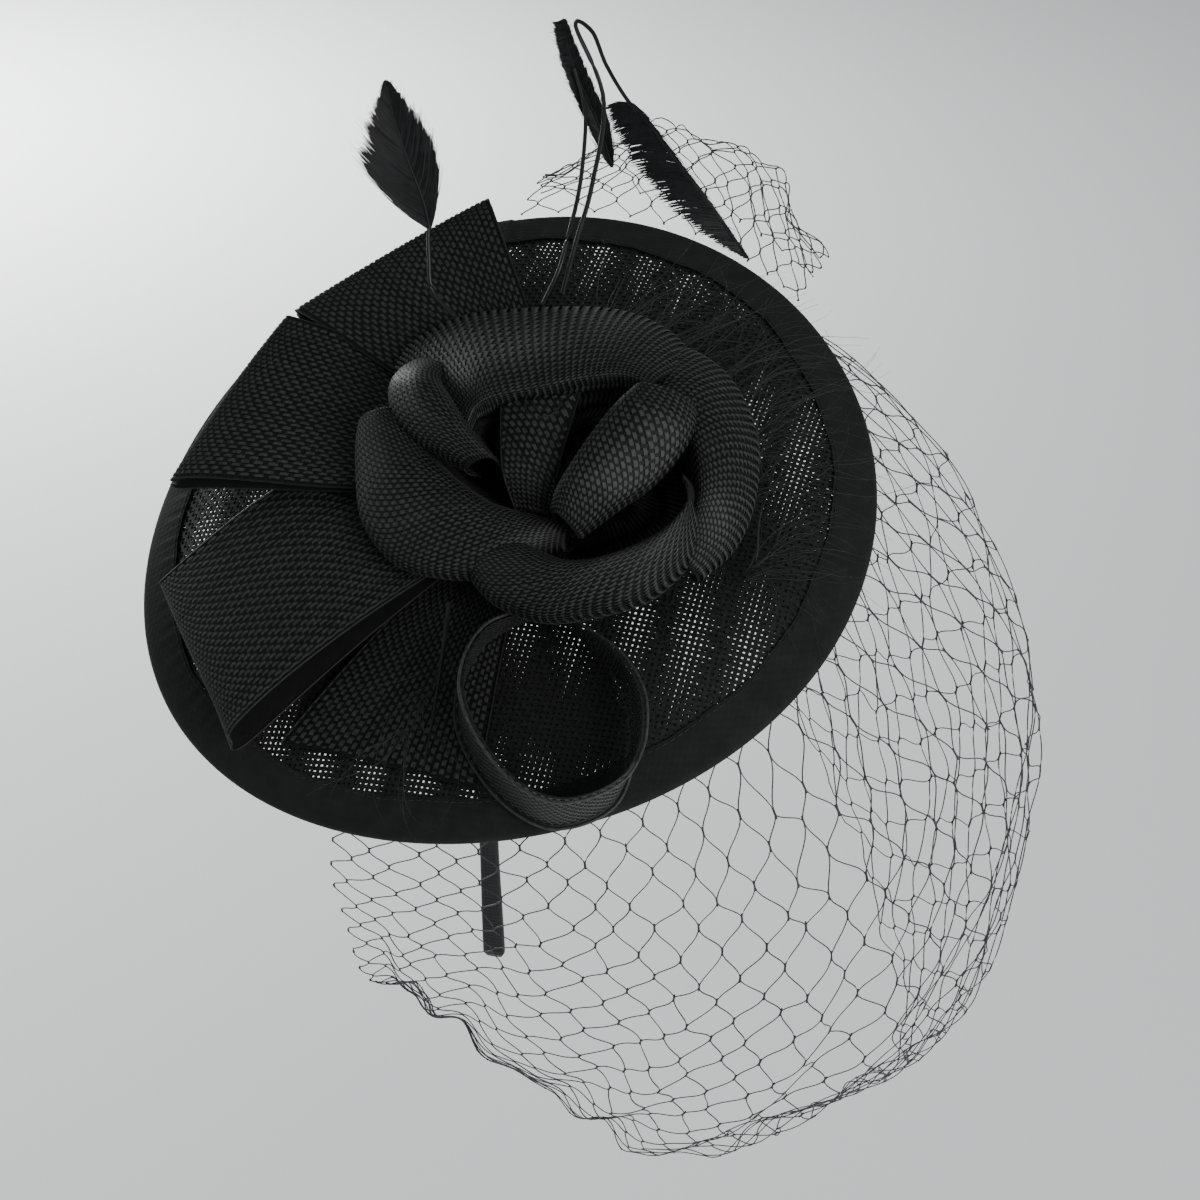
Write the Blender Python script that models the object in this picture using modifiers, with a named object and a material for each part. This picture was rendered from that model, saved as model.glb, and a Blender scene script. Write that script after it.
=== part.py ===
"""Fascinator headpiece: a tilted sinamay brim on a covered headband, with a ribbon and rose trim,
three stripped feathers, a marabou plume and a cage veil.

Run with: blender --background --python part.py

World frame: metres, +Z up. The wearer faces -Y and the wearer's right is -X. The origin is the crown
point of the headband's inner face, where the band rests on the head.
Trim frame: the brim's own frame, tilted down to the wearer's right. Its sizes are in millimetres, and a
trim point is (x, y, h), where h is the height above the brim's top surface.
"""
import math

import bmesh
import bpy
from mathutils import Matrix, Vector

MM = 0.001
CLEAR = 0.3            # gap kept between touching pieces

# Headband
BAND_IN_R = 70.0       # inner radius of the arch
BAND_W = 6.0           # covered width
SLEEVE_T = 0.4         # satin cover
CORE_T = 1.0           # steel core
ARCH_END = 94.0        # degrees from the crown where the arch runs out straight
LEG_LEN = 66.0         # straight run below the arch
FLEX_AT = 68.0         # degrees from the crown, where each arm bends
FLEX_GAP = 0.4
TIP_LEN = 9.0
TIP_WALL = 0.7
BAND_T = CORE_T + 2 * (CLEAR + SLEEVE_T)
BAND_MID_R = BAND_IN_R + BAND_T / 2

# Brim
BRIM_R = 118.0
BRIM_T = 1.2           # two plies of sinamay
CROWN_RISE = 9.0
FRONT_BACK_DROP = 13.0
SIDE_DROP = 2.0
BIND_W = 12.5          # bias binding, seen from above
BIND_T = 0.6
WIRE_R = 0.6
WIRE_PLAY = 0.15       # slack between the wire and the fold of the binding
BRIM_SHIFT = (-20.0, 12.0)   # brim's centre from the crown point, to the wearer's right and back
BRIM_LEAN = -5.0       # degrees about the brim's X
BRIM_TILT = -30.0      # degrees about Y, down to the wearer's right
AROUND = 48            # facets round the brim
PAD_R = 24.0
PAD_T = 1.0
PAD_AT = (-15.0, -12.0)
PAD_GAP = 0.4065       # over the band, for the stitches' thread

# Ribbon and rose trim
RIBBON_T = 0.8
STACK = 1.3            # height of one more ribbon layer under the rose
RING_FOOT = 3.2        # height of the round loop's lower edge, over the tail
RING_LEAN = (5.5, 10.0)
TAIL_H = 1.0           # the tail lies on the brim
ROSE_AT = (2.0, -28.0)
ROSE_BASE_R = 20.0
ROSE_BASE_H = 11.0

# Feathers
QUILL_R = 0.7
VANE_T = 0.8

# Veil
NET_T = 1.0
HEADING_R = 1.0
HEADING_IN = 6.0       # how far inside the brim's edge the veil is sewn
POUF_OUT = 2.0         # how far outside the brim's edge the folded end stands


# ---------------------------------------------------------------- helpers

def material(name, colour, roughness, metallic=0.0):
    mat = bpy.data.materials.new(name)
    mat.use_nodes = True
    shader = mat.node_tree.nodes["Principled BSDF"]
    shader.inputs["Base Color"].default_value = (*colour, 1.0)
    shader.inputs["Roughness"].default_value = roughness
    shader.inputs["Metallic"].default_value = metallic
    return mat


def finish_object(obj, name, mat, parent):
    obj.name = name
    obj.data.name = name
    obj.data.materials.clear()
    obj.data.materials.append(mat)
    obj.parent = parent
    for old in obj.users_collection:
        old.objects.unlink(obj)
    PARTS.objects.link(obj)
    return obj


def mesh_object(name, bm, mat, parent=None):
    bmesh.ops.recalc_face_normals(bm, faces=bm.faces)
    mesh = bpy.data.meshes.new(name)
    bm.to_mesh(mesh)
    bm.free()
    mesh.shade_smooth()
    return finish_object(bpy.data.objects.new(name, mesh), name, mat, parent)


def solidify(obj, thickness, offset=0.0):
    mod = obj.modifiers.new("thickness", "SOLIDIFY")
    mod.thickness = thickness * MM
    mod.offset = offset
    mod.use_even_offset = True
    return mod


def catmull(points, count):
    """Sample a smooth curve through the points, `count` spans long."""
    pts = [Vector(p) for p in points]
    ends = [2 * pts[0] - pts[1], *pts, 2 * pts[-1] - pts[-2]]
    out = []
    for i in range(count + 1):
        u = i / count * (len(pts) - 1)
        k = min(int(u), len(pts) - 2)
        t = u - k
        a, b, c, d = ends[k:k + 4]
        out.append(0.5 * (2 * b + (c - a) * t + (2 * a - 5 * b + 4 * c - d) * t ** 2
                          + (3 * b - a - 3 * c + d) * t ** 3))
    return out


def brim_z(x, y):
    """Height of the brim's middle surface in the trim frame."""
    rho = min(1.0, math.hypot(x, y) / BRIM_R)
    turn = math.atan2(y, x)
    droop = FRONT_BACK_DROP * math.sin(turn) ** 2 + SIDE_DROP * math.cos(turn) ** 2
    return CROWN_RISE * (1 - rho ** 2) - droop * rho ** 4


def on_brim(point):
    x, y, h = point[:3]
    return Vector((x, y, brim_z(x, y) + BRIM_T / 2 + h))


def tube(name, points, radii, mat, parent=None, sides=2):
    """A round solid along the points, with a radius at each point."""
    curve = bpy.data.curves.new(name, "CURVE")
    curve.dimensions = "3D"
    curve.bevel_depth = MM
    curve.bevel_resolution = sides
    curve.use_fill_caps = True
    spline = curve.splines.new("POLY")
    spline.points.add(len(points) - 1)
    for knot, point, radius in zip(spline.points, points, radii):
        knot.co = (*(Vector(point) * MM), 1.0)
        knot.radius = radius
    obj = bpy.data.objects.new(name, curve)
    return finish_object(obj, name, mat, parent)


def roll(name, knots, mat, parent, spans=12):
    """A rolled petal: a round solid through knots of (x, y, h, radius) over the brim."""
    smooth = catmull([(*on_brim(k), ) for k in knots], spans)
    radii = [v.x for v in catmull([(k[3], 0, 0) for k in knots], spans)]
    return tube(name, smooth, radii, mat, parent)


def ruled(name, rail_a, rail_b, thickness, mat, parent=None, across=1, place=Vector):
    """A strip of cloth between two rails of points in millimetres, given a thickness.

    place turns each point between the rails into a point of the parent's frame.
    """
    bm = bmesh.new()
    rows = []
    for a, b in zip(rail_a, rail_b):
        steps = (Vector(a).lerp(Vector(b), j / across) for j in range(across + 1))
        rows.append([bm.verts.new(place(p) * MM) for p in steps])
    for low, high in zip(rows, rows[1:]):
        for j in range(across):
            bm.faces.new((low[j], low[j + 1], high[j + 1], high[j]))
    obj = mesh_object(name, bm, mat, parent)
    solidify(obj, thickness)
    return obj


def turned(name, profile, mat, parent, droop):
    """Turn an (r, z) profile round the brim's axis, then droop it as the brim droops."""
    bm = bmesh.new()
    rings = []
    for r, z in profile:
        ring = []
        for i in range(AROUND):
            turn = math.tau * i / AROUND
            x, y = r * math.cos(turn), r * math.sin(turn)
            ring.append(bm.verts.new(Vector((x, y, z + droop(x, y))) * MM))
        rings.append(ring)
    for low, high in zip(rings, rings[1:]):
        for i in range(AROUND):
            j = (i + 1) % AROUND
            bm.faces.new((low[i], low[j], high[j], high[i]))
    return mesh_object(name, bm, mat, parent), rings


# ---------------------------------------------------------------- headband

def band_point(s, offset=0.0):
    """A point on the band's middle line. s is degrees of arch, then millimetres of leg past ARCH_END.

    offset moves the point outwards. The result lies in the XZ plane, on the +X arm.
    """
    turn = math.radians(min(s, ARCH_END))
    radius = BAND_MID_R + offset
    x = radius * math.sin(turn)
    z = -BAND_IN_R + radius * math.cos(turn)
    run = max(0.0, s - ARCH_END)
    return Vector((x + run * math.cos(turn), 0, z - run * math.sin(turn)))


def band_stations(start, stop, step=8.0):
    marks = [start]
    while marks[-1] + step < min(stop, ARCH_END):
        marks.append(marks[-1] + step)
    if stop > ARCH_END:
        marks += [ARCH_END, stop]
    else:
        marks.append(stop)
    return marks


def band_frame(s):
    turn = math.radians(min(s, ARCH_END))
    return Vector((math.sin(turn), 0, math.cos(turn)))


def band_bar(name, marks, side, width, low, high, mat, parent=None, wall=0.0):
    """A flat bar along the band. With a wall it is a cover open at both ends, else it is solid."""
    bm = bmesh.new()
    rings = []
    for s in marks:
        mid = band_point(s)
        out = band_frame(s)
        corners = ((-width / 2, low), (width / 2, low), (width / 2, high), (-width / 2, high))
        ring = []
        for y, lift in corners:
            point = mid + out * lift
            ring.append(bm.verts.new(Vector((point.x * side, y, point.z)) * MM))
        rings.append(ring)
    for near, far in zip(rings, rings[1:]):
        for i in range(4):
            j = (i + 1) % 4
            bm.faces.new((near[i], near[j], far[j], far[i]))
    if not wall:
        bm.faces.new(rings[0])
        bm.faces.new(rings[-1][::-1])
    obj = mesh_object(name, bm, mat, parent)
    obj.data.shade_flat()
    if wall:
        solidify(obj, wall, -1.0)
    return obj


def headband(mats):
    half_gap = math.degrees(FLEX_GAP / 2 / BAND_MID_R)
    core_w = BAND_W - 2 * (SLEEVE_T + CLEAR)
    crown = [-m for m in reversed(band_stations(0, FLEX_AT - half_gap))][:-1]
    crown += band_stations(0, FLEX_AT - half_gap)
    signed_bar("band_core_crown", crown, core_w, CORE_T / 2, mats["steel"])
    signed_bar("band_sleeve_crown", crown, BAND_W, BAND_T / 2, mats["satin"], SLEEVE_T)
    tip_top = ARCH_END + LEG_LEN - TIP_LEN
    for word, side in (("left", 1), ("right", -1)):
        joint = bpy.data.objects.new(f"flex_{word}", None)
        joint.location = band_point(FLEX_AT) * MM
        joint.location.x *= side
        PARTS.objects.link(joint)
        arm = band_stations(FLEX_AT + half_gap, tip_top)
        make = (
            (f"band_core_{word}", arm, core_w, CORE_T / 2, mats["steel"], 0.0),
            (f"band_sleeve_{word}", arm, BAND_W, BAND_T / 2, mats["satin"], SLEEVE_T),
        )
        for name, marks, width, half, mat, wall in make:
            piece = band_bar(name, marks, side, width, -half, half, mat, None, wall)
            hang_on(piece, joint)
        tip = band_tip(f"band_tip_{word}", tip_top + CLEAR, side, mats["satin"])
        hang_on(tip, joint)


def hang_on(piece, joint):
    """Parent a piece to its joint's empty and keep it where it was made."""
    piece.parent = joint
    piece.matrix_parent_inverse = Matrix.Translation(-joint.location)


def signed_bar(name, marks, width, half, mat, wall=0.0):
    """A bar over the crown, whose stations run from the left arm's side to the right's."""
    bm = bmesh.new()
    rings = []
    for s in marks:
        side = 1 if s >= 0 else -1
        mid = band_point(abs(s))
        out = band_frame(abs(s))
        ring = []
        for y, lift in ((-width / 2, -half), (width / 2, -half), (width / 2, half), (-width / 2, half)):
            point = mid + out * lift
            ring.append(bm.verts.new(Vector((point.x * side, y, point.z)) * MM))
        rings.append(ring)
    for near, far in zip(rings, rings[1:]):
        for i in range(4):
            j = (i + 1) % 4
            bm.faces.new((near[i], near[j], far[j], far[i]))
    if not wall:
        bm.faces.new(rings[0])
        bm.faces.new(rings[-1][::-1])
    obj = mesh_object(name, bm, mat)
    obj.data.shade_flat()
    if wall:
        solidify(obj, wall, -1.0)
    return obj


def band_tip(name, start, side, mat):
    """The folded end of the cover, glued into a small block with a flat inner face."""
    marks = [start, ARCH_END + LEG_LEN]
    half = BAND_T / 2
    obj = band_bar(name, marks, side, BAND_W + 2 * TIP_WALL, -half - 0.2, half + TIP_WALL, mat)
    bevel = obj.modifiers.new("soft edges", "BEVEL")
    bevel.width = 0.5 * MM
    bevel.segments = 2
    return obj


def band_stitches(mats):
    """Four thread loops that hold the band up against the felt pad."""
    for i, turn in enumerate((20.0, 26.0, 32.0, 38.0)):
        half_w = BAND_W / 2 + CLEAR + STITCH_R
        low = -BAND_T / 2 - CLEAR - STITCH_R
        mid = band_point(turn)
        out = band_frame(turn)
        points = []
        for y, lift in ((-half_w, None), (-half_w, low), (half_w, low), (half_w, None)):
            point = mid + out * (low if lift is not None else 0)
            spot = Vector((-point.x, y, point.z))
            if lift is None:
                spot = raise_to_pad(spot, out)
            points.append(spot)
        tube(f"band_stitch_{i + 1}", points, [STITCH_R] * 4, mats["thread"], None, 1)


STITCH_R = 0.35


def raise_to_pad(spot, out):
    """Move a world point along the band's outward direction until it is under the felt pad."""
    direction = Vector((-out.x, 0, out.z))
    inverse = TRIM_MATRIX.inverted()
    local = inverse @ spot
    step = inverse.to_3x3() @ direction
    return spot + direction * ((pad_bottom() - CLEAR - 0.1 - local.z) / step.z)


# ---------------------------------------------------------------- brim

def brim(frame, mats):
    edge = BRIM_R - BIND_T - 2 * WIRE_R - 2 * CLEAR - WIRE_PLAY
    start = BRIM_R - BIND_W
    profile = [(edge, 0.0), ((edge + start) / 2, 0.0)]
    profile += [(start * k / 8, 0.0) for k in range(8, 0, -1)]
    disc, rings = turned("brim_disc", profile, mats["sinamay"], frame, brim_z)
    close_centre(disc)
    solidify(disc, BRIM_T)
    wire_r = edge + CLEAR + WIRE_R
    circle = [(wire_r + WIRE_R * math.cos(t), WIRE_R * math.sin(t))
              for t in (math.tau * k / 6 for k in range(7))]
    wire = turned("brim_wire", circle, mats["steel"], frame, brim_z)[0]
    weld(wire)
    inner = BRIM_T / 2 + CLEAR + BIND_T / 2
    outer = BRIM_R - BIND_T / 2
    top = [(start, inner), ((start + outer - inner) / 2, inner), (outer - inner, inner)]
    arc = [(outer - inner * (1 - math.cos(t)), inner * math.sin(t))
           for t in (math.radians(a) for a in (60, 30, 0, -30, -60))]
    under = [(r, -z) for r, z in reversed(top)]
    binding = turned("brim_binding", top + arc + under, mats["binding"], frame, brim_z)[0]
    solidify(binding, BIND_T)


def close_centre(obj):
    """Cap the hole that a turned sheet leaves at its axis."""
    bm = bmesh.new()
    bm.from_mesh(obj.data)
    rim = [e for e in bm.edges if e.is_boundary and e.verts[0].co.xy.length < 0.2 * BRIM_R * MM]
    bmesh.ops.holes_fill(bm, edges=rim, sides=0)
    bmesh.ops.triangulate(bm, faces=[f for f in bm.faces if len(f.verts) > 4])
    bmesh.ops.recalc_face_normals(bm, faces=bm.faces)
    bm.to_mesh(obj.data)
    bm.free()


def weld(obj):
    bm = bmesh.new()
    bm.from_mesh(obj.data)
    bmesh.ops.remove_doubles(bm, verts=bm.verts, dist=0.00002)
    bmesh.ops.recalc_face_normals(bm, faces=bm.faces)
    bm.to_mesh(obj.data)
    bm.free()


def pad_top():
    """The felt pad is flat, so its top clears the brim's underside at the pad's far edge."""
    reach = math.hypot(*PAD_AT) + PAD_R
    return brim_z(-reach, 0) - BRIM_T / 2 - 1.5 * CLEAR


def pad_bottom():
    return pad_top() - PAD_T


def brim_height(leaning):
    """Height of the brim's centre that rests the felt pad on the band: PAD_GAP above its nearest edge."""
    normal = leaning @ Vector((0, 0, 1))
    shift = Vector((*BRIM_SHIFT, 0))
    band_edge = (BAND_IN_R + BAND_T) * math.hypot(normal.x, normal.z) + BAND_W / 2 * abs(normal.y)
    rise = band_edge + PAD_GAP - pad_bottom() - normal.dot(shift)
    return rise / normal.z - BAND_IN_R


def felt_pad(frame, mats):
    bpy.ops.mesh.primitive_cylinder_add(vertices=32, radius=PAD_R * MM, depth=PAD_T * MM)
    pad = finish_object(bpy.context.object, "felt_pad", mats["felt"], frame)
    pad.location = Vector((*PAD_AT, pad_top() - PAD_T / 2)) * MM


# ---------------------------------------------------------------- ribbon loops

def folded_loop(name, roots, folds, layer, lift, gap, mat, frame, bulge=2.0, twist=(1.0, 1.0)):
    """A ribbon that leaves the rose, folds back and returns below itself.

    roots and folds hold the (x, y) of the ribbon's two edges at the rose and at the fold. layer is the
    root's place in the stack, lift the fold's middle height, gap the opening between the two leaves at
    the fold, and twist scales that opening at each edge.
    """
    rails = []
    for root, fold, open_by in zip(roots, folds, twist):
        root = Vector(root)
        fold = Vector(fold)
        out = (fold - root).normalized()
        half = max(gap * open_by, 2 * RIBBON_T) / 2
        low = 1 + layer * STACK
        mid = root.lerp(fold, 0.5)
        near = fold - out * half
        rail = [
            (*root, low + STACK),
            (*mid, (low + STACK + lift + half) / 2 + bulge),
            (*near, lift + half),
            (*fold, lift),
            (*near, lift - half),
            (*mid, (low + lift - half) / 2 - bulge * 0.2),
            (*root, low),
        ]
        rails.append(catmull([on_brim(p) for p in rail], 18))
    return ruled(name, rails[0], rails[1], RIBBON_T, mat, frame, 2)


def loops(frame, mats):
    cloth = mats["sinamay"]
    tail_roots = [(-14, -4), (-20, -18)]
    tail_ends = [(-92, 43), (-101, -22)]
    rails = []
    for root, end in zip(tail_roots, tail_ends):
        root, end = Vector(root), Vector(end)
        rails.append([(*root.lerp(end, k / 8), TAIL_H) for k in range(9)])
    ruled("tail_lower", rails[0], rails[1], RIBBON_T, cloth, frame, 6, on_brim)
    folded_loop("loop_left_lower", [(2, 2), (-20, -8)], [(-42, 93), (-98, 54)], 1, 13.5, 11, cloth, frame,
                twist=(0.35, 1.0))
    folded_loop("loop_top", [(12, -8), (24, -22)], [(52, 73), (99, 20)], 3.4, 22, 4, cloth, frame)
    folded_loop("loop_left_upper", [(14, 4), (-8, -4)], [(46, 75), (-14, 96)], 5.6, 23.5, 5, cloth, frame,
                bulge=-1.0)
    round_loop(frame, cloth)




def round_loop(frame, cloth):
    """A ribbon on edge, curled into a round loop in front of the rose."""
    plan = [(-46, -31, 8), (-61, -20, 19), (-86, -22, 30), (-106, -37, 31), (-114, -56, 31),
            (-104, -72, 31), (-83, -73, 30), (-64, -61, 19), (-49, -40, 8)]
    top = []
    low = []
    for x, y, h in plan:
        share = (h - RING_FOOT) / (31.0 - RING_FOOT)
        top.append(on_brim((x, y, h)))
        low.append(on_brim((x + RING_LEAN[0] * share, y + RING_LEAN[1] * share, RING_FOOT)))
    ruled("loop_round", catmull(low, 24), catmull(top, 24), RIBBON_T, cloth, frame, 2)


# ---------------------------------------------------------------- rose

def rose(frame, mats):
    cloth = mats["sinamay"]
    base_z = brim_z(*ROSE_AT) + BRIM_T / 2 + ROSE_BASE_H
    bpy.ops.mesh.primitive_cylinder_add(vertices=32, radius=ROSE_BASE_R * MM, depth=1.0 * MM)
    base = finish_object(bpy.context.object, "rose_base", mats["felt"], frame)
    base.location = Vector((*ROSE_AT, base_z)) * MM
    petals = {
        "petal_outer_left": [(9, 27, 22, 6), (-12, 21, 24, 10), (-27, 7, 24, 12), (-34, -11, 24, 11),
                             (-33, -27, 24, 8), (-29, -34, 25, 5)],
        "petal_outer_bottom": [(-50, -22, 21, 5), (-49, -38, 22, 8), (-44, -54, 23, 9), (-36, -66, 25, 9),
                               (-25, -72, 28, 7), (-14, -70, 30, 5)],
        "petal_outer_right": [(20, -62, 30, 7), (9, -74, 30, 9), (-5, -83, 29, 9), (-20, -86, 26, 8),
                              (-31, -82, 23, 5)],
        "petal_outer_top": [(26, 20, 24, 7), (34, 3, 26, 9), (37, -18, 28, 9), (34, -38, 29, 9),
                            (27, -52, 30, 6)],
        "petal_left_roll": [(16, 14, 33, 5), (2, 8, 36, 7), (-10, -4, 37, 7), (-18, -14, 36, 4)],
        "petal_inner_right": [(-23, -43, 34, 6), (-15, -50, 37, 9), (-3, -57, 39, 9), (8, -61, 40, 6)],
    }
    for name, knots in petals.items():
        roll(name, knots, cloth, frame)
    wrap_a = [on_brim(p) for p in ((-24, -22, 24), (-16, -18, 36), (0, -14, 45))]
    wrap_b = [on_brim(p) for p in ((-24, -33, 24), (-16, -35, 36), (4, -38, 48))]
    ruled("bud_wrap", catmull(wrap_a, 6), catmull(wrap_b, 6), 1.6, cloth, frame, 2)
    roll("bud_core", [(4, -26, 14, 7), (4, -26, 24, 9), (8, -27, 34, 8), (13, -27, 40, 4)], cloth, frame, 8)


# ---------------------------------------------------------------- feathers

def feather(word, shaft, vane_left, vane_right, frame, mats):
    """A stripped feather: a bare quill that stands on its joint, and the vane left at its end."""
    knots = [on_brim(p) for p in shaft]
    joint = bpy.data.objects.new(f"sway_{word}", None)
    joint.parent = frame
    joint.location = knots[0] * MM
    PARTS.objects.link(joint)
    line = catmull(knots, 4 * len(knots) - 4)
    radii = [QUILL_R * (1 - 0.4 * i / (len(line) - 1)) for i in range(len(line))]
    quill = tube(f"feather_{word}_quill", line, radii, mats["quill"], None, 1)
    left = catmull([on_brim(p) for p in vane_left], 12)
    right = catmull([on_brim(p) for p in vane_right], 12)
    vane = ruled(f"feather_{word}_vane", left, right, VANE_T, mats["feather"], None, 2)
    for piece in (quill, vane):
        hang_on(piece, joint)


def feathers(frame, mats):
    feather(
        "left",
        [(40, 12, 34), (45, 19, 40), (52, 20, 48), (57, 20, 54)],
        [(59, 20, 56), (64, 33, 71), (72, 40, 82), (79, 32, 93), (82, 29.5, 98)],
        [(59, 19, 56), (68, 19, 66), (76, 22, 82), (80, 27, 92), (82, 28.5, 98)],
        frame, mats)
    feather(
        "middle",
        [(47, -15, 34), (54, -20, 42), (63, -22, 48), (73, -26, 61), (82, -29, 77), (85, -29, 81)],
        [(86.5, -28, 83), (90, -25, 89), (94, -23, 98), (100, -21, 108), (101, -24, 108)],
        [(82, -34, 61), (86, -35, 77), (91, -30, 90), (96, -27, 99), (101, -25, 108)],
        frame, mats)
    feather(
        "right",
        [(50, -21, 36), (60, -25.5, 49), (71, -31, 64), (84, -37, 90), (93, -31, 112), (90, -37, 113),
         (82, -42, 107), (74, -49, 101)],
        [(72.5, -50, 100), (73, -44, 97), (66, -48, 92), (57, -56, 84), (48, -70, 76), (45, -84, 70)],
        [(72, -51, 100), (70, -55, 98), (63, -63, 91), (56, -72, 83), (50, -79, 75), (45, -85, 70)],
        frame, mats)


def marabou(frame, mats):
    """A fluffy plume that fans out over the brim from under the rose, and its bare quill."""
    inner = [(52, -22, 6), (46, -46, 6), (30, -74, 6), (4, -96, 6)]
    outer = [(92, -24, 8), (84, -54, 8), (58, -84, 8), (20, -106, 8)]
    rails = [catmull([on_brim(p) for p in rail], 10) for rail in (inner, outer)]
    ruled("marabou_plume", rails[0], rails[1], 3.0, mats["feather"], frame, 2)
    spine = catmull([on_brim(p) for p in ((-52, -6, 17), (-74, -7, 12), (-99, -7, 8))], 6)
    tube("marabou_quill", spine, [0.7, 0.7, 0.7, 0.6, 0.5, 0.4, 0.3], mats["quill"], frame, 1)


# ---------------------------------------------------------------- veil

def rim_point(turn, inset, drop):
    """A world point under the brim, at a turn in degrees from the brim's +X."""
    r = BRIM_R - inset
    x = r * math.cos(math.radians(turn))
    y = r * math.sin(math.radians(turn))
    under = BRIM_T / 2 + CLEAR + BIND_T + drop
    return TRIM_MATRIX @ Vector((x, y, brim_z(x, y) - under))


# Each column hangs from the brim at a turn in degrees, then passes through these world points.
VEIL_COLUMNS = (
    (-192, ((-99, 42, -100), (-97, 36, -124), (-95, 22, -143))),
    (-168, ((-104, -16, -98), (-97, -10, -128), (-91, -8, -155))),
    (-146, ((-110, -64, -96), (-102, -60, -142), (-86, -40, -184))),
    (-126, ((-94, -104, -92), (-92, -98, -150), (-72, -66, -210))),
    (-106, ((-58, -136, -80), (-58, -136, -148), (-42, -102, -205))),
    (-86, ((-16, -154, -62), (-14, -154, -135), (-10, -126, -207))),
    (-66, ((24, -146, -38), (30, -144, -110), (28, -124, -190))),
    (-46, ((62, -112, -6), (66, -112, -80), (62, -98, -156))),
    (-26, ((86, -66, 12), (90, -70, -46), (82, -62, -112))),
    (-6, ((94, -18, 20), (98, -24, -24), (90, -24, -68))),
    (12, ((92, 26, 26), (95, 22, 0), (90, 18, -26))),
)


def veil(frame, mats):
    turns = [column[0] for column in VEIL_COLUMNS]
    first, last = turns[0], turns[-1]
    arc = [rim_point(first + (last - first) * i / 40, HEADING_IN, HEADING_R + 2 * CLEAR) for i in range(41)]
    tube("veil_heading", arc, [HEADING_R] * 41, mats["thread"], None, 1)
    drop = 2 * HEADING_R + 3 * CLEAR + NET_T / 2
    columns = []
    for turn, points in VEIL_COLUMNS:
        top = rim_point(turn, HEADING_IN, drop)
        columns.append(catmull([top, *points], 9))
    rows = [catmull(row, 30) for row in zip(*columns)]
    bm = bmesh.new()
    grid = [[bm.verts.new(p * MM) for p in row] for row in rows]
    for low, high in zip(grid, grid[1:]):
        for j in range(len(low) - 1):
            bm.faces.new((low[j], low[j + 1], high[j + 1], high[j]))
    cage = mesh_object("veil_cage", bm, mats["net"])
    solidify(cage, NET_T)
    pouf(mats)


def pouf(mats):
    """The gathered end of the veil, folded over at the brim's left edge."""
    low = []
    high = []
    for i, turn in enumerate((10, -2, -14, -25, -34, -41)):
        rise = 26 * math.sin(math.radians(30 * i + 15))
        base = rim_point(turn, -POUF_OUT, -POUF_OUT)
        low.append(base)
        high.append(base + Vector((10.0 + rise * 0.3, -4.0, rise + 4.0)))
    ruled("veil_pouf", catmull(low, 12), catmull(high, 12), NET_T, mats["net"], None, 3)


# ---------------------------------------------------------------- build

def main():
    for obj in list(bpy.data.objects):
        bpy.data.objects.remove(obj)
    bpy.context.scene.collection.children.link(PARTS)
    mats = {
        "sinamay": material("sinamay", (0.012, 0.012, 0.013), 0.75),
        "binding": material("binding", (0.010, 0.010, 0.011), 0.85),
        "satin": material("satin", (0.014, 0.014, 0.015), 0.4),
        "steel": material("steel", (0.55, 0.56, 0.58), 0.35, 1.0),
        "felt": material("felt", (0.012, 0.012, 0.012), 0.95),
        "feather": material("feather", (0.010, 0.010, 0.012), 0.6),
        "quill": material("quill", (0.012, 0.012, 0.014), 0.3),
        "net": material("net", (0.015, 0.016, 0.018), 0.6),
        "thread": material("thread", (0.012, 0.012, 0.012), 0.7),
    }
    frame = bpy.data.objects.new("trim_frame", None)
    frame.matrix_world = METRES @ TRIM_MATRIX @ METRES.inverted()
    PARTS.objects.link(frame)
    headband(mats)
    brim(frame, mats)
    felt_pad(frame, mats)
    band_stitches(mats)
    loops(frame, mats)
    rose(frame, mats)
    feathers(frame, mats)
    marabou(frame, mats)
    veil(frame, mats)


METRES = Matrix.Scale(MM, 4)
LEANING = Matrix.Rotation(math.radians(BRIM_TILT), 4, "Y") @ Matrix.Rotation(math.radians(BRIM_LEAN), 4, "X")
TRIM_MATRIX = Matrix.Translation((*BRIM_SHIFT, brim_height(LEANING))) @ LEANING
PARTS = bpy.data.collections.new("fascinator_headpiece")
main()
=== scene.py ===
"""Looks of the fascinator headpiece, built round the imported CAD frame.

World frame: metres, +Z up, the wearer faces -Y. Trim pieces are laid out in the brim's own frame, in
millimetres: x towards the wearer's left, y towards the back, h above the brim.
"""

import math

import bpy
import numpy as np
from mathutils import Matrix, Vector


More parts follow.
